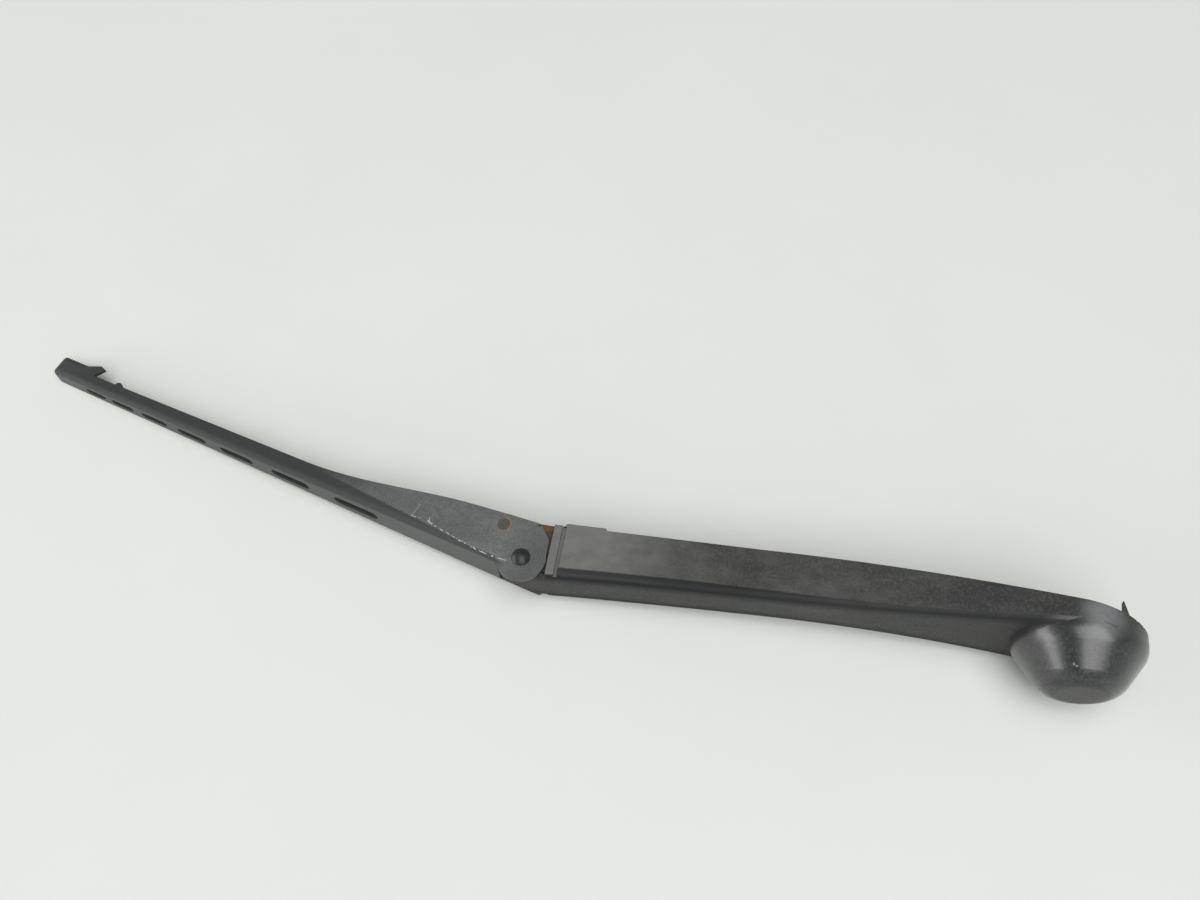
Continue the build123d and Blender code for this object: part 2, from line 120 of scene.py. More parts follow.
class Board:
    """Node board of one material or world, with the patterns that its finish is mixed from."""

    MIX_SHARE, MIX_FIRST, MIX_SECOND, MIX_RESULT = 0, 6, 7, 2

    def __init__(
        self, holder: Union[bpy.types.Material, bpy.types.World], shader: str, place: str
    ) -> None:
        """Opens the board of a material or a world.

        Args:
            holder: the material or world.
            shader: name of its shader node.
            place: name of the coordinates that its patterns follow.
        """
        self.holder = holder
        holder.use_nodes = True
        self.tree = holder.node_tree
        self.shader = self.tree.nodes[shader]
        self.place = self.node("ShaderNodeTexCoord", output=place)

    @classmethod
    def finish(cls, name: str) -> "Board":
        """The board of a new Principled material, on the piece's own coordinates."""
        return cls(bpy.data.materials.new(name), "Principled BSDF", "Object")

    @classmethod
    def room(cls, name: str) -> "Board":
        """The board of a new world, on its directions."""
        return cls(bpy.data.worlds.new(name), "Background", "Generated")

    def node(
        self,
        kind: str,
        settings: Optional[dict[str, Any]] = None,
        inputs: Optional[dict[Any, Any]] = None,
        output: Union[int, str] = 0,
    ) -> Wire:
        """Adds one node.

        Args:
            kind: the node's type.
            settings: values of the node itself, set first.
            inputs: a value or a wire for each input.
            output: which of its outputs is wanted.

        Returns:
            That output.
        """
        node = self.tree.nodes.new(kind)
        for key, value in (settings or {}).items():
            setattr(node, key, value)
        for key, value in (inputs or {}).items():
            self.feed(node.inputs[key], value)
        return Wire(self, node.outputs[output])

    def feed(self, socket: bpy.types.NodeSocket, value: Any) -> None:
        """Links a wire to a socket, or sets its number or colour.

        Args:
            socket: an input of a node.
            value: the wire, number, colour or vector.
        """
        if isinstance(value, Wire):
            self.tree.links.new(value.socket, socket)
        elif socket.type == "RGBA" and len(value) == 3:
            socket.default_value = (*value, 1.0)
        else:
            socket.default_value = value

    def set(self, **values: Any) -> None:
        """Feeds sockets of the shader, named with _ for each space."""
        for key, value in values.items():
            self.feed(self.shader.inputs[key.replace("_", " ")], value)

    def vector(self, operation: str, first: Any, second: Any = (0, 0, 0), output: int = 0) -> Wire:
        """One Vector Math node."""
        return self.node("ShaderNodeVectorMath", {"operation": operation}, {0: first, 1: second}, output)

    def noise(
        self, grain_mm: float, detail: float = 3.0, stretch: Place = (1, 1, 1), turn: float = 0.0
    ) -> Wire:
        """Cloudy noise from 0 to 1.

        Args:
            grain_mm: size of its blotches.
            detail: how many finer layers it has.
            stretch: how much longer a blotch is along each axis.
            turn: angle about the hinge axis of the stretched axes, in radians.

        Returns:
            The noise.
        """
        squeezed = self.node(
            "ShaderNodeMapping",
            {"vector_type": "TEXTURE"},
            {"Vector": self.place, "Rotation": (0, 0, turn), "Scale": stretch},
        )
        return self.node(
            "ShaderNodeTexNoise",
            {"noise_dimensions": "3D"},
            {"Vector": squeezed, "Scale": 1 / (grain_mm * MM), "Detail": detail, "Roughness": 0.6},
        )

    def smooth(self, value: Wire, span: Span) -> Wire:
        """A soft step from 0 at the span's first limit to 1 at its second, whichever is larger."""
        inputs = {"Value": value, "From Min": span[0], "From Max": span[1]}
        return self.node("ShaderNodeMapRange", {"interpolation_type": "SMOOTHSTEP"}, inputs)

    def axis(self, direction: Vector, origin: Vector) -> Wire:
        """How far a point lies along a direction from an origin, in millimetres."""
        offset = self.vector("SUBTRACT", self.place, origin)
        return self.vector("DOT_PRODUCT", offset, direction / MM, 1)

    def facing(self, direction: Vector) -> Wire:
        """Cosine between the surface's own normal and a direction."""
        normal = self.node("ShaderNodeTexCoord", output="Normal")
        return self.vector("DOT_PRODUCT", normal, direction, 1)

    def stroke(self, start: Vector, end: Vector, width_mm: float, place: Optional[Wire] = None) -> Wire:
        """Mask of a straight mark.

        Args:
            start: where it begins.
            end: where it ends.
            width_mm: half of its width.
            place: the coordinates that it is drawn in, if not the piece's own.

        Returns:
            1 on the mark and 0 off it.
        """
        run = end - start
        offset = self.vector("SUBTRACT", place or self.place, start)
        share = self.vector("DOT_PRODUCT", offset, run / run.length_squared, 1)
        clamped = self.node("ShaderNodeClamp", {}, {"Value": share})
        foot = self.node("ShaderNodeVectorMath", {"operation": "SCALE"}, {0: run, "Scale": clamped})
        distance = self.vector("DISTANCE", offset, foot, 1)
        return self.smooth(distance, (width_mm * MM, width_mm / 2 * MM))

    def spot(self, centre: Vector, radius_mm: float, soft: float = 0.5) -> Wire:
        """Mask of a round patch, faded over that share of its radius."""
        distance = self.vector("DISTANCE", self.place, centre, 1)
        return self.smooth(distance, (radius_mm * MM, radius_mm * (1 - soft) * MM))

    def mix(self, share: Wire, first: Any, second: Any) -> Wire:
        """A colour between two, by a mask."""
        inputs = {self.MIX_SHARE: share, self.MIX_FIRST: first, self.MIX_SECOND: second}
        return self.node("ShaderNodeMix", {"data_type": "RGBA"}, inputs, self.MIX_RESULT)

    def bump(self, height: Wire, depth_mm: float, strength: float = 1.0, edge_mm: float = 0.25) -> Wire:
        """The surface's normal, eased over its edges and tilted by a relief.

        Args:
            height: the relief, from 0 to 1.
            depth_mm: its depth.
            strength: how much of it shows.
            edge_mm: how far each edge is eased.

        Returns:
            The normal.
        """
        eased = self.node("ShaderNodeBevel", {"samples": 6}, {"Radius": edge_mm * MM}, "Normal")
        inputs = {"Height": height, "Distance": depth_mm * MM, "Strength": strength, "Normal": eased}
        return self.node("ShaderNodeBump", {}, inputs, "Normal")


@dataclass(frozen=True)
class ArmFrame:
    """Places on the arm, in the frame of its solids."""

    hinge: Vector
    rest_angle: float = radians(16)
    retainer_half_width: float = 9.2

    @property
    def tip_way(self) -> Vector:
        """The way along the retainer from the hinge to the tip."""
        return Vector((-cos(self.rest_angle), sin(self.rest_angle), 0))

    @property
    def glass_way(self) -> Vector:
        """The way from the retainer's outer wall to the glass."""
        return Vector((sin(self.rest_angle), cos(self.rest_angle), 0))

    def on_retainer(self, along: float, across: float, up: float = 0.0) -> Vector:
        """A place on the retainer, in millimetres from the hinge: to the tip, to the glass and up."""
        return self.hinge + (self.tip_way * along + self.glass_way * across + ALONG_HINGE * up) * MM


ARM = ArmFrame(Vector(frame["joints"][0]["pos_m"]))


@dataclass(frozen=True)
class CoverMasks:
    """Patterns of the cover that its colour, roughness and coat share.

    along runs from the hinge to the spindle in millimetres, and outwards is the normal's share away from the
    glass. outer marks the outer face, dome the dome, and fold and rim the painted shade on both sides of the
    long fold.
    """

    along: Wire
    outwards: Wire
    outer: Wire
    dome: Wire
    fold: Wire
    rim: Wire
    clouds: Wire
    smudges: Wire


@dataclass(frozen=True)
class CoverPlastic:
    """Dark moulded plastic of the head cover: chalky flats, a glossy dome, painted shade on the folds and a
    painted sheen.
    """

    dark: Colour = (0.036, 0.037, 0.036)
    faded: Colour = (0.076, 0.075, 0.07)
    worn: Colour = (0.155, 0.155, 0.144)
    polished_and_painted_shade: Colour = (0.011, 0.012, 0.013)
    chip: Colour = (0.32, 0.32, 0.31)
    dust: Colour = (0.2, 0.195, 0.18)
    scratch: Colour = (0.015, 0.015, 0.015)
    painted_sheen: Colour = (0.2, 0.212, 0.212)

    roughness: float = 0.5
    dome_roughness: float = 0.3
    fold_roughness: float = 0.6
    end_dulling: float = 0.1
    coat_roughness: float = 0.28
    coat_ior: float = 1.65
    specular: float = 0.2

    dome_centre: Place = (0, -9, 0)
    dome_reach: float = 27
    dome_soft: float = 0.25
    dome_end: Span = (0.94, 0.995)
    dome_face: Span = (0.7, 0.96)
    dome_face_side: Span = (15, 2)
    # Place and reach of the painted sheen on the nose's top edge, a pale patch that stands in for a
    # reflection.
    nose_top: Place = (1.8, 1.6, 21.5)
    nose_reach: float = 10
    nose_soft: float = 0.8

    outer_turn: Span = (0.3, 0.8)
    flat_turn: Span = (0.8, 0.95)
    handled_run: Span = (-128, -172)
    lip_end: Span = (-186, -185.4)
    groove_end: Span = (-182, -180.5)
    neck_run: Span = (-85, -25)

    # Shape and strength of the painted shade along both sides of the long fold.
    half_width: float = 9.5
    flare_start: float = 108.2
    flare_bend: float = 1 / 905
    crown_drop: float = 0.4
    crown_slope: float = 0.00512
    crown_bend: float = 0.000126
    fold_band: float = 6.5
    rim_band: Span = (2.2, 1.5)
    rim_growth: float = 1.5
    rim_growth_run: Span = (-40, -150)
    fold_shade_share: float = 0.85
    fold_shade_fading: float = 0.35
    fold_shade_fading_run: Span = (-130, -40)

    chip_places: tuple[Place, ...] = (
        (-5.6, -13.9, 14.1),
        (13.2, -16.4, 2.0),
        (14.6, -15.8, 1.2),
        (19.6, -4.8, 9.0),
    )
    big_chip: Place = (-6.5, -13.6, 14.4)
    scratch_width: float = 0.25
    scratch_runs: tuple[tuple[Place, Place, float], ...] = (
        ((1.2, -0.4, 22), (5.2, -1.5, 21.4), 1.0),
        ((-108, 4.2, 9.5), (-99, 4.6, 9.6), 0.5),
        ((-62, 6, 13.4), (-55, 5.4, 14.4), 0.4),
    )

    def material(self) -> bpy.types.Material:
        """Mixes the finish.

        Returns:
            The material.
        """
        board = Board.finish("cover_plastic")
        masks = self.masks(board)
        height = board.noise(0.35, 2) * 0.6 + masks.smudges * 0.4
        face = board.smooth(masks.outwards, self.dome_face) * board.smooth(masks.along, self.dome_face_side)
        end = board.smooth(masks.outwards, self.dome_end)
        rough = self.roughness + masks.dome * (self.dome_roughness - self.roughness)
        rough = rough + (masks.fold + masks.rim) * (self.fold_roughness - self.roughness)
        rough = rough + (masks.clouds - 0.5) * 0.16 + (masks.smudges - 0.5) * 0.14
        board.set(
            Base_Color=self.colour(board, masks),
            Roughness=rough + masks.dome * end * self.end_dulling,
            Coat_Weight=masks.dome * (1 - face * 0.6) * (1 - end * 0.47),
            Coat_Roughness=self.coat_roughness,
            Coat_IOR=self.coat_ior,
            Specular_IOR_Level=self.specular,
            Normal=board.bump(height, 0.05, 0.35),
        )
        return board.holder

    def masks(self, board: Board) -> CoverMasks:
        """Finds the parts of the cover.

        Args:
            board: the finish's board.

        Returns:
            The patterns that mark them.
        """
        along = board.axis(ALONG_HEAD, SPINDLE)
        outwards = board.facing(-TO_GLASS)
        outer = board.smooth(outwards, self.outer_turn)
        dome = board.spot(at(self.dome_centre), self.dome_reach, self.dome_soft)
        across = board.axis(ALONG_HINGE, SPINDLE).magnitude()
        flare = (along + self.flare_start) | 0
        inset = self.half_width + flare * flare * self.flare_bend - across
        fold = outer * board.smooth(inset, (self.fold_band, self.fold_band / 4)) * (1 - dome)
        rise = board.axis(TO_GLASS, ARM.hinge) + self.crown_drop
        inside = rise + along * along * self.crown_bend - along * self.crown_slope
        growth = board.smooth(along, self.rim_growth_run) * self.rim_growth
        rim = board.smooth(inside - growth, self.rim_band) * board.smooth(along, self.groove_end)
        return CoverMasks(
            along=along,
            outwards=outwards,
            outer=outer,
            dome=dome,
            fold=fold,
            rim=rim * (1 - dome) * (1 - outer),
            clouds=board.noise(16, 4, (2.2, 1, 1)),
            smudges=board.noise(5, 4, (1.6, 1, 1)),
        )

    def colour(self, board: Board, masks: CoverMasks) -> Wire:
        """Lays the colours over each other, from the plastic up to its chips and scratches, with painted
        shade and a painted sheen among them.

        Args:
            board: the finish's board.
            masks: the parts of the cover.

        Returns:
            The colour.
        """
        along, smudges = masks.along, masks.smudges
        fade = board.smooth(masks.clouds, (0.35, 0.68)) * 0.5 + board.smooth(smudges, (0.36, 0.7)) * 0.45
        # Painted shade: the outer face is kept darker than the sides that face up.
        colour = board.mix(fade - masks.outer * 0.35, self.dark, self.faded)
        flats = board.smooth(board.facing(ALONG_HINGE).magnitude(), self.flat_turn)
        handled = board.smooth(along, self.handled_run) * flats * board.smooth(along, self.lip_end)
        colour = board.mix(handled * (0.45 + smudges * 0.9), colour, self.worn)
        specks = board.smooth(board.noise(1.1, 2), (0.68, 0.75)) * board.smooth(masks.clouds, (0.45, 0.6))
        colour = board.mix(specks * 0.4, colour, self.dust)
        # Painted shade: the cover darkens towards the dome, in place of a dark reflection.
        colour = board.mix(board.smooth(along, self.neck_run) * 0.35, colour, self.polished_and_painted_shade)
        fading = board.smooth(along, self.fold_shade_fading_run) * self.fold_shade_fading
        # Painted shade on both sides of the long fold, and the glossy dome's deeper black, share one dark
        # colour.
        edge = (masks.fold + masks.rim) * (self.fold_shade_share - fading)
        colour = board.mix(edge | masks.dome * 0.8, colour, self.polished_and_painted_shade)
        # Painted sheen: a pale patch on the nose's top edge stands in for a reflection.
        painted_sheen_mask = board.spot(at(self.nose_top), self.nose_reach, self.nose_soft)
        painted_sheen_mask = painted_sheen_mask * (0.25 + smudges * 0.7 + board.noise(0.9, 3) * 0.4)
        colour = board.mix(painted_sheen_mask, colour, self.painted_sheen)
        grain = board.smooth(board.noise(0.8, 3), (0.45, 0.68)) * (1 - masks.fold) * (1 - masks.rim)
        colour = board.mix(grain * 0.2, colour, self.worn)
        colour = board.mix(self.chips(board) * 0.7, colour, self.chip)
        return board.mix(self.scratches(board), colour, self.scratch)

    def chips(self, board: Board) -> Wire:
        """Small pale chips on the dome and on the nose's edge.

        Args:
            board: the finish's board.

        Returns:
            Their mask.
        """
        chips = board.spot(at(self.big_chip), 0.6)
        for place in self.chip_places:
            chips = chips | board.spot(at(place), 0.5)
        return chips * board.smooth(board.noise(0.8, 2), (0.4, 0.55))

    def scratches(self, board: Board) -> Wire:
        """Fine dark scratches on the upper wall of the dome and along the top.

        Args:
            board: the finish's board.

        Returns:
            Their mask.
        """
        first, second, third = (
            board.stroke(at(start), at(end), self.scratch_width) * depth
            for start, end, depth in self.scratch_runs
        )
        return (first | second | third) * 0.6


@dataclass(frozen=True)
class RetainerPaint:
    """Satin grey paint of the pressed retainer, with painted shade on its outer wall, near the ear and along
    its folds, chipped by the hinge.
    """

    dark: Colour = (0.105, 0.108, 0.108)
    pale: Colour = (0.15, 0.153, 0.151)
    shaded: Colour = (0.05, 0.052, 0.052)
    fold: Colour = (0.024, 0.025, 0.026)
    deep: Colour = (0.024, 0.025, 0.0245)
    metal: Colour = (0.6, 0.6, 0.59)
    rust: Colour = (0.25, 0.14, 0.06)
    roughness: float = 0.48

    outer_turn: Span = (0.7, 0.95)
    flat_turn: Span = (0.6, 0.9)
    fold_turn: Span = (0.2, 0.4)
    ear_run: Span = (8, -6)
    roll_run: Span = (3, 9)
    roll_band: Span = (-0.2, 0.8)
    roll_turn: Span = (0.95, 0.75)
    narrow_start: Span = (46, 100)
    narrow_end: Span = (212, 194)

    pin_place: Span = (11.8, 9.1)
    pin_reach: float = 3.1
    pin_side: Span = (-1.4, 1.2)
    upper_side: Span = (4, 6)
    scratch_run: tuple[Span, Span] = ((44.5, 3.8), (45.0, -1.6))
    scratch_width: float = 0.22
    chip_slope: float = 0.064
    chip_drop: float = 4.6
    chip_runs: tuple[tuple[float, float, float, float, float], ...] = (
        (45.2, -1.8, 43.4, -1.6, 0.2),
        (42.4, -1.3, 41.4, -1.1, 0.15),
        (38.4, 0.3, 37.9, -1.0, 0.2),
        (38.2, -1.2, 36.4, -1.6, 0.42),
        (35.2, -1.9, 34.2, -2.1, 0.18),
        (33.0, -2.2, 31.0, -2.5, 0.26),
        (29.9, -2.5, 28.6, -2.8, 0.36),
        (27.4, -2.9, 24.6, -3.2, 0.2),
        (23.8, -3.4, 22.6, -3.3, 0.3),
        (21.6, -3.4, 18.4, -3.8, 0.18),
        (17.6, -3.6, 16.6, -3.9, 0.32),
        (15.0, -3.9, 12.0, -4.0, 0.18),
        (10.6, -4.1, 9.4, -3.8, 0.26),
        (7.4, -3.8, 4.4, -3.4, 0.22),
    )

    def material(self) -> bpy.types.Material:
        """Mixes the finish.

        Returns:
            The material.
        """
        board = Board.finish("retainer_paint")
        clouds = board.noise(12, 4, (2, 1, 1), -ARM.rest_angle)
        outwards = board.facing(-ARM.glass_way)
        along = board.axis(ARM.tip_way, ARM.hinge)
        # The roll below the chips is marked for painted shade.
        below = along * self.chip_slope - board.axis(ARM.glass_way, ARM.hinge) - self.chip_drop
        rolled = board.smooth(below, self.roll_band) * board.smooth(along, self.roll_run)
        rolled = rolled * board.smooth(outwards, self.roll_turn)
        ring = self.pin_rust(board)
        bare = self.chips(board)
        colour = board.mix(ring, self.paint(board, clouds, along, outwards, rolled), self.rust)
        worn_rough = (clouds - 0.5) * 0.2 - bare * 0.08 + ring * 0.3 + rolled * 0.2
        board.set(
            Base_Color=board.mix(bare, colour, self.metal),
            Roughness=self.roughness + worn_rough,
            Metallic=bare * 0.4,
            Normal=board.bump(board.noise(0.6, 2) * 0.5 - bare, 0.04, 0.5),
        )
        return board.holder

    def paint(self, board: Board, clouds: Wire, along: Wire, outwards: Wire, rolled: Wire) -> Wire:
        """The paint without chips or rust, with its painted shade.

        Args:
            board: the finish's board.
            clouds: its broad unevenness.
            along: millimetres from the hinge to the tip.
            outwards: the normal's share away from the glass.
            rolled: mask of the painted shade on the wide roll below the chips.

        Returns:
            The colour.
        """
        sideways = board.facing(ALONG_HINGE).magnitude()
        smudges = board.noise(3.5, 3)
        fade = board.smooth(clouds, (0.35, 0.7)) * 0.6 + board.smooth(smudges, (0.4, 0.7)) * 0.3
        colour = board.mix(fade, self.dark, self.pale)
        # Painted shade on the outer wall and near the ear.
        colour = board.mix(board.smooth(outwards, self.outer_turn) * 0.9, colour, self.shaded)
        colour = board.mix(board.smooth(along, self.ear_run) * 0.4, colour, self.shaded)
        # Painted shade on the fold and on the roll below the chips.
        folded = board.smooth(sideways * outwards, self.fold_turn)
        colour = board.mix(folded * 0.85 | rolled * 0.9, colour, self.fold)
        narrow = board.smooth(along, self.narrow_start) * board.smooth(along, self.narrow_end)
        narrow = narrow * (0.3 + board.smooth(sideways, self.flat_turn) * 0.65)
        colour = board.mix(narrow, colour, self.deep)
        return board.mix(board.smooth(board.noise(0.9, 3), (0.46, 0.64)) * 0.3, colour, self.fold)

    def chips(self, board: Board) -> Wire:
        """Bright chips along the upper fold, and the thin scratch that runs into them.

        Args:
            board: the finish's board.

        Returns:
            Their mask.
        """
        flat = board.vector("MULTIPLY", board.place, (1, 1, 0))
        start, end = (ARM.on_retainer(*place) for place in self.scratch_run)
        chips = board.stroke(start, end, self.scratch_width, flat) * 0.5
        for along, across, next_along, next_across, half_width in self.chip_runs:
            start, end = ARM.on_retainer(along, across), ARM.on_retainer(next_along, next_across)
            chips = chips | board.stroke(start, end, half_width, flat)
        upper = board.smooth(board.axis(ALONG_HINGE, ARM.hinge), self.upper_side)
        return chips * upper * board.smooth(board.noise(0.7, 4), (0.4, 0.54)) * 0.8

    def pin_rust(self, board: Board) -> Wire:
        """Rust that creeps out round the spring pin.

        Args:
            board: the finish's board.

        Returns:
            Its mask.
        """
        centre = ARM.on_retainer(*self.pin_place, ARM.retainer_half_width)
        ring = board.spot(centre, self.pin_reach, 0.16)
        right = board.smooth(board.axis(ALONG_HEAD, centre), self.pin_side)
        return ring * (0.05 + right * 0.8) * board.smooth(board.noise(1.1, 3), (0.3, 0.55))


@dataclass(frozen=True)
class HeadSteel:
    """Dip-painted steel of the head, rusting where the ears and edges are bare."""

    paint: Colour = (0.03, 0.03, 0.03)
    rust: Colour = (0.2, 0.095, 0.04)
    dark_rust: Colour = (0.075, 0.04, 0.025)
    roughness: float = 0.42
    ear_run: Span = (20, 6)
    spot_limits: Span = (0.62, 0.72)
    ear_limits: Span = (0.42, 0.56)

    def material(self) -> bpy.types.Material:
        """Mixes the finish.

        Returns:
            The material.
        """
        board = Board.finish("head_steel")
        near_hinge = board.smooth(board.axis(ALONG_HEAD, ARM.hinge), self.ear_run)
        blotches = board.noise(3.5, 5)
        ears = near_hinge * board.smooth(blotches, self.ear_limits)
        crust = board.smooth(blotches, self.spot_limits) | ears
        tone = board.mix(board.noise(0.9, 4), self.dark_rust, self.rust)
        board.set(
            Base_Color=board.mix(crust, self.paint, tone),
            Roughness=self.roughness + crust * 0.45,
            Normal=board.bump(board.noise(0.5, 4) * crust, 0.15, 0.8),
        )
        return board.holder


@dataclass(frozen=True)
class WornMetal:
    """Plain turned or drawn metal, dulled by handling and flecked with rust."""

    name: str
    clean: Colour
    dull: Colour
    rust: Colour = (0.16, 0.08, 0.035)
    rust_share: float = 0.3
    metallic: float = 0.9
    roughness: float = 0.42

    @property
    def fleck_limits(self) -> Span:
        """Limits of the noise that counts as rust, lower where there is more of it."""
        return 0.72 - 0.25 * self.rust_share, 0.8 - 0.2 * self.rust_share

    def material(self) -> bpy.types.Material:
        """Mixes the finish.

        Returns:
            The material.
        """
        board = Board.finish(self.name)
        clouds = board.noise(2.2, 4)
        flecks = board.smooth(board.noise(0.9, 4), self.fleck_limits)
        tone = board.mix(board.smooth(clouds, (0.35, 0.65)), self.clean, self.dull)
        board.set(
            Base_Color=board.mix(flecks, tone, self.rust),
            Metallic=self.metallic - flecks * self.metallic,
            Roughness=self.roughness + flecks * 0.35 + (clouds - 0.5) * 0.2,
            Normal=board.bump(board.noise(0.3, 2), 0.03, 0.4),
        )
        return board.holder


@dataclass(frozen=True)
class BenchTop:
    """Pale matt bench with the faintest unevenness."""

    pale: Colour = (0.735, 0.75, 0.72)
    shade: Colour = (0.7, 0.715, 0.685)
    roughness: float = 0.85
    specular: float = 0.2

    def material(self) -> bpy.types.Material:
        """Mixes the finish.

        Returns:
            The material.
        """
        board = Board.finish("bench_top")
        board.set(
            Base_Color=board.mix(board.noise(90, 3), self.shade, self.pale),
            Roughness=self.roughness + board.noise(6, 2) * 0.1,
            Specular_IOR_Level=self.specular,
        )
        return board.holder


class Finish(Enum):
    """Finishes of the arm, by the record's slot."""

    COVER = CoverPlastic()
    RETAINER = RetainerPaint()
    HEAD = HeadSteel()
    RIVET = WornMetal(
        "rivet_paint", (0.02, 0.021, 0.022), (0.032, 0.033, 0.034), rust_share=0.0, metallic=0.3
    )
    PIN = WornMetal("pin_steel", (0.1, 0.1, 0.097), (0.075, 0.074, 0.07), rust_share=0.15, metallic=0.3)
    WASHER = WornMetal(
        "washer_plastic", (0.03, 0.03, 0.03), (0.045, 0.044, 0.042), rust_share=0.0, metallic=0.05
    )
    HUB = WornMetal("hub_metal", (0.45, 0.44, 0.42), (0.3, 0.29, 0.28), rust_share=0.5)
    SPRING = WornMetal("sprung_steel", (0.3, 0.29, 0.28), (0.2, 0.19, 0.18), rust_share=0.6)


NODE_FINISHES: dict[str, Finish] = {
    "head_cover": Finish.COVER,
    "arm_head": Finish.HEAD,
    "spindle_hub": Finish.HUB,
    "anchor_pin": Finish.SPRING,
    "retainer": Finish.RETAINER,
    "hinge_rivet_upper": Finish.RIVET,
    "hinge_rivet_lower": Finish.RIVET,
    "hinge_washer_upper": Finish.WASHER,
    "hinge_washer_lower": Finish.WASHER,
    "spring_pin": Finish.PIN,
    "spring_hook": Finish.SPRING,
    "tension_spring": Finish.SPRING,
}


class Wardrobe:
    """Makes each finish once and hands it to the solids."""

    def __init__(self) -> None:
        """Starts with nothing made."""
        self.made: dict[Finish, bpy.types.Material] = {}

    def of(self, finish: Finish) -> bpy.types.Material:
        """The material of a finish, made when it is first asked for.

        Args:
            finish: which one.

        Returns:
            The material.
        """
        if finish not in self.made:
            self.made[finish] = finish.value.material()
        return self.made[finish]

    def dress(self, piece: bpy.types.Object, finish: Finish) -> None:
        """Puts one finish on all of a piece."""
        piece.data.materials.clear()
        piece.data.materials.append(self.of(finish))


@dataclass(frozen=True)
class SpringCoil:
    """Wound tension spring: its turns, and the loop that its last turn makes round the anchor pin."""

    wire_radius: float = 0.62 * MM
    turn_radius: float = 2.86 * MM
    loop_radius: float = 2.92 * MM
    first_turn: float = 26.4 * MM
    last_turn: float = 3.9 * MM
    turns: int = 50
    steps: int = 18
    wire_sides: int = 10
    smooth_angle: float = radians(50)

    def wire_ring(self, radius: float) -> bpy.types.Object:
        """Adds one round section of the wire.

        Args:
            radius: its distance from the Z axis.

        Returns:
            The ring.
        """
        bpy.ops.object.select_all(action="DESELECT")
        bpy.ops.mesh.primitive_circle_add(
            vertices=self.wire_sides,
            radius=self.wire_radius,
            location=(radius, 0, 0),
            rotation=(pi / 2, 0, 0),
        )
        bpy.ops.object.transform_apply(location=True, rotation=True, scale=True)
        return bpy.context.active_object

    def wind(self, length: float) -> bpy.types.Object:
        """Winds the turns along Z and closes both ends of the wire.

        Args:
            length: how far the turns reach.

        Returns:
            The coil.
        """
        coil = self.wire_ring(self.turn_radius)
        screw = coil.modifiers.new("turns", "SCREW")
        screw.axis = "Z"
        screw.angle = 2 * pi
        screw.screw_offset = length / self.turns
        screw.iterations = self.turns
        screw.steps = screw.render_steps = self.steps
        bpy.ops.object.modifier_apply(modifier=screw.name)
        bpy.ops.object.mode_set(mode="EDIT")
        bpy.ops.mesh.select_all(action="SELECT")
        bpy.ops.mesh.fill_holes(sides=0)
        bpy.ops.mesh.select_all(action="SELECT")
        bpy.ops.mesh.normals_make_consistent(inside=False)
        bpy.ops.object.mode_set(mode="OBJECT")
        return coil

    def bend_loop(self) -> bpy.types.Object:
        """Spins the wire into the loop.

        Returns:
            The loop, round the Z axis.
        """
        loop = self.wire_ring(self.loop_radius)
        bpy.ops.object.mode_set(mode="EDIT")
        bpy.ops.mesh.select_all(action="SELECT")
        bpy.ops.mesh.spin(steps=2 * self.steps, angle=2 * pi, center=(0, 0, 0), axis=(0, 0, 1))
        bpy.ops.mesh.select_all(action="SELECT")
        bpy.ops.mesh.remove_doubles(threshold=self.wire_radius / 100)
        bpy.ops.mesh.normals_make_consistent(inside=False)
        bpy.ops.object.mode_set(mode="OBJECT")
        return loop

    def build(self, wardrobe: Wardrobe) -> bpy.types.Object:
        """Makes the spring between the hook and the anchor pin, in place of the solid one.

        Args:
            wardrobe: where its finish comes from.

        Returns:
            The spring.
        """
        places = {joint["name"]: Vector(joint["pos_m"]) for joint in frame["joints"]}
        hook, anchor = places["hook_swing"], places["spring_swing"]
        run = anchor - hook
        pull = run.normalized()
        coil = self.wind(run.length - self.first_turn - self.last_turn)
        turn = pull.to_track_quat("Z", "Y").to_matrix().to_4x4()
        coil.data.transform(Matrix.Translation(hook + pull * self.first_turn) @ turn)
        loop = self.bend_loop()
        loop.data.transform(Matrix.Translation(anchor))
        bpy.ops.object.select_all(action="DESELECT")
        loop.select_set(True)
        coil.select_set(True)
        bpy.context.view_layer.objects.active = coil
        bpy.ops.object.join()
        bpy.ops.object.shade_smooth_by_angle(angle=self.smooth_angle)
        coil.name = "tension_spring_wire"
        wardrobe.dress(coil, Finish.SPRING)
        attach(coil, "spring")
        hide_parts("tension_spring")
        return coil


@dataclass(frozen=True)
class Softbox:
    """One soft light over the bench: its place, its width and length, and its watts."""

    name: str
    place: Place
    size: Span
    power: float


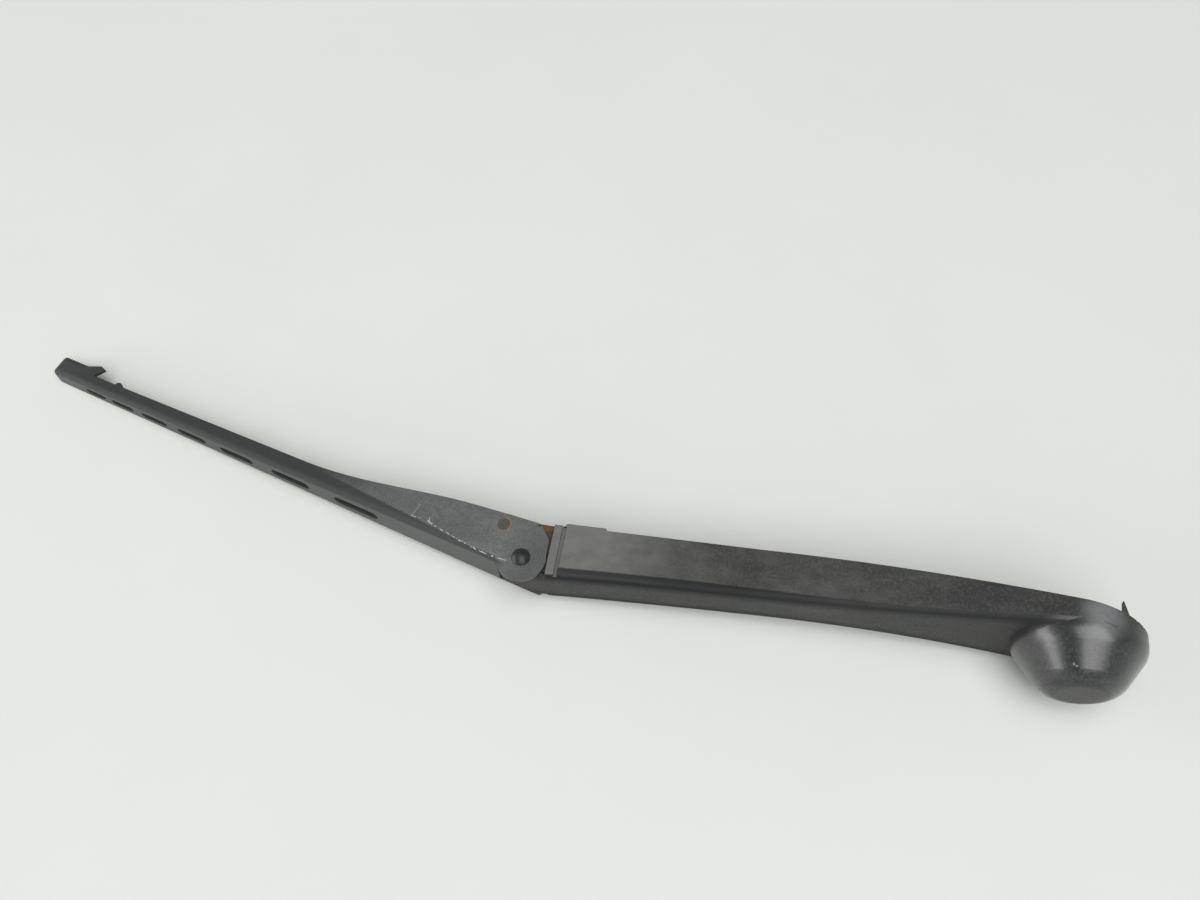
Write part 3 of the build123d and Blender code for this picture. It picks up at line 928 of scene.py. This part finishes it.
@dataclass(frozen=True)
class Studio:
    """The bench, the camera over it and two soft lights, set in the bench's own frame.

    The bench's frame has its origin under the camera, Y away from the viewer and Z up.
    """

    focal_pixels: float = 1050.0
    image_width: float = 1200.0
    sensor_mm: float = 36.0
    clip_start: float = 0.01
    pitch: float = radians(60)
    camera_height: float = 0.36915
    spindle_place: Place = (0.1658, 0.1214, 0.023)
    spindle_point: Place = (0.0018, -0.0015, 0.0)
    yaw: float = radians(-9.75)
    lean: float = radians(2.57)
    bench_size: float = 4.0
    bench_gap: float = 0.0001
    lit_place: Place = (0.05, 0.1, 0)
    softboxes: tuple[Softbox, ...] = (
        Softbox("softbox_above", (0.3, -0.9, 2.8), (2.6, 3.7), 104),
        Softbox("softbox_left", (-3.0, -0.1, 0.75), (3.8, 1.2), 62),
    )
    room_tint: Colour = (0.96, 1.0, 0.98)
    wall_light: float = 0.55
    ceiling_light: float = 0.1
    wall_top: Span = (0.2, 0.6)

    def to_arm(self) -> Matrix:
        """Turns a place on the bench into the arm's frame.

        Returns:
            The matrix that does so.
        """
        level, rise = cos(self.lean), sin(self.lean)
        along = Vector((cos(self.yaw) * level, sin(self.yaw) * level, rise))
        up = Vector((-cos(self.yaw) * rise, -sin(self.yaw) * rise, level))
        axes = Matrix((along, up.cross(along), up)).to_4x4()
        return Matrix.Translation(self.spindle_point) @ axes @ Matrix.Translation(-Vector(self.spindle_place))

    def lay_bench(self) -> None:
        """Adds the bench top, which the dome's side and the tip rest on."""
        bpy.ops.object.select_all(action="DESELECT")
        bpy.ops.mesh.primitive_plane_add(size=self.bench_size, location=(0, 0, 0))
        bench = bpy.context.active_object
        bench.name = "bench_top"
        dome_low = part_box("head_cover")[0].z
        tip = min(frame["nodes"]["retainer"].data.vertices, key=lambda vertex: vertex.co.x).co.copy()
        tip.z = -abs(tip.z)
        slope = Vector((tip.x, 0, tip.z - dome_low)).normalized()
        up = TO_GLASS.cross(slope).normalized()
        if up.z < 0:
            up.negate()
        low = Vector((0, 0, dome_low)) - up * self.bench_gap
        bench.data.transform(Matrix.Translation(low) @ up.to_track_quat("Z", "Y").to_matrix().to_4x4())
        bench.data.materials.append(BenchTop().material())

    def set_camera(self) -> None:
        """Adds the camera at the photographed angle."""
        data = bpy.data.cameras.new("camera")
        data.sensor_fit = "HORIZONTAL"
        data.sensor_width = self.sensor_mm
        data.lens = self.focal_pixels / self.image_width * self.sensor_mm
        data.clip_start = self.clip_start
        camera = bpy.data.objects.new("camera", data)
        bpy.context.scene.collection.objects.link(camera)
        turn = Matrix.Rotation(pi / 2 - self.pitch, 4, "X")
        camera.matrix_world = self.to_arm() @ Matrix.Translation((0, 0, self.camera_height)) @ turn
        bpy.context.scene.camera = camera

    def hang(self, softbox: Softbox) -> None:
        """Adds one soft light, turned to the lit place.

        Args:
            softbox: the light.
        """
        data = bpy.data.lights.new(softbox.name, "AREA")
        data.shape = "RECTANGLE"
        data.size, data.size_y = softbox.size
        data.energy = softbox.power
        light = bpy.data.objects.new(softbox.name, data)
        bpy.context.scene.collection.objects.link(light)
        place = Vector(softbox.place)
        turn = (Vector(self.lit_place) - place).to_track_quat("-Z", "Y").to_matrix().to_4x4()
        light.matrix_world = self.to_arm() @ Matrix.Translation(place) @ turn

    def light(self) -> None:
        """Adds the softboxes and a room with pale walls and a dark ceiling."""
        for softbox in self.softboxes:
            self.hang(softbox)
        room = Board.room("room")
        rise = room.vector("DOT_PRODUCT", room.place, (0, 0, 1), 1)
        dimming = room.smooth(rise, self.wall_top) * (self.wall_light - self.ceiling_light)
        room.set(Color=self.room_tint, Strength=self.wall_light - dimming)
        bpy.context.scene.world = room.holder


def main() -> None:
    """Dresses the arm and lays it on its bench."""
    logging.basicConfig(level=logging.INFO, format="%(message)s")
    wardrobe = Wardrobe()
    for node, finish in NODE_FINISHES.items():
        wardrobe.dress(frame["nodes"][node], finish)
        log.info("%s is finished as %s", node, finish.name.lower())
    spring = SpringCoil().build(wardrobe)
    log.info("%s has %d faces", spring.name, len(spring.data.polygons))
    studio = Studio()
    studio.lay_bench()
    studio.set_camera()
    studio.light()
    bpy.context.scene.view_settings.view_transform = "Standard"


if __name__ == "__main__":
    main()
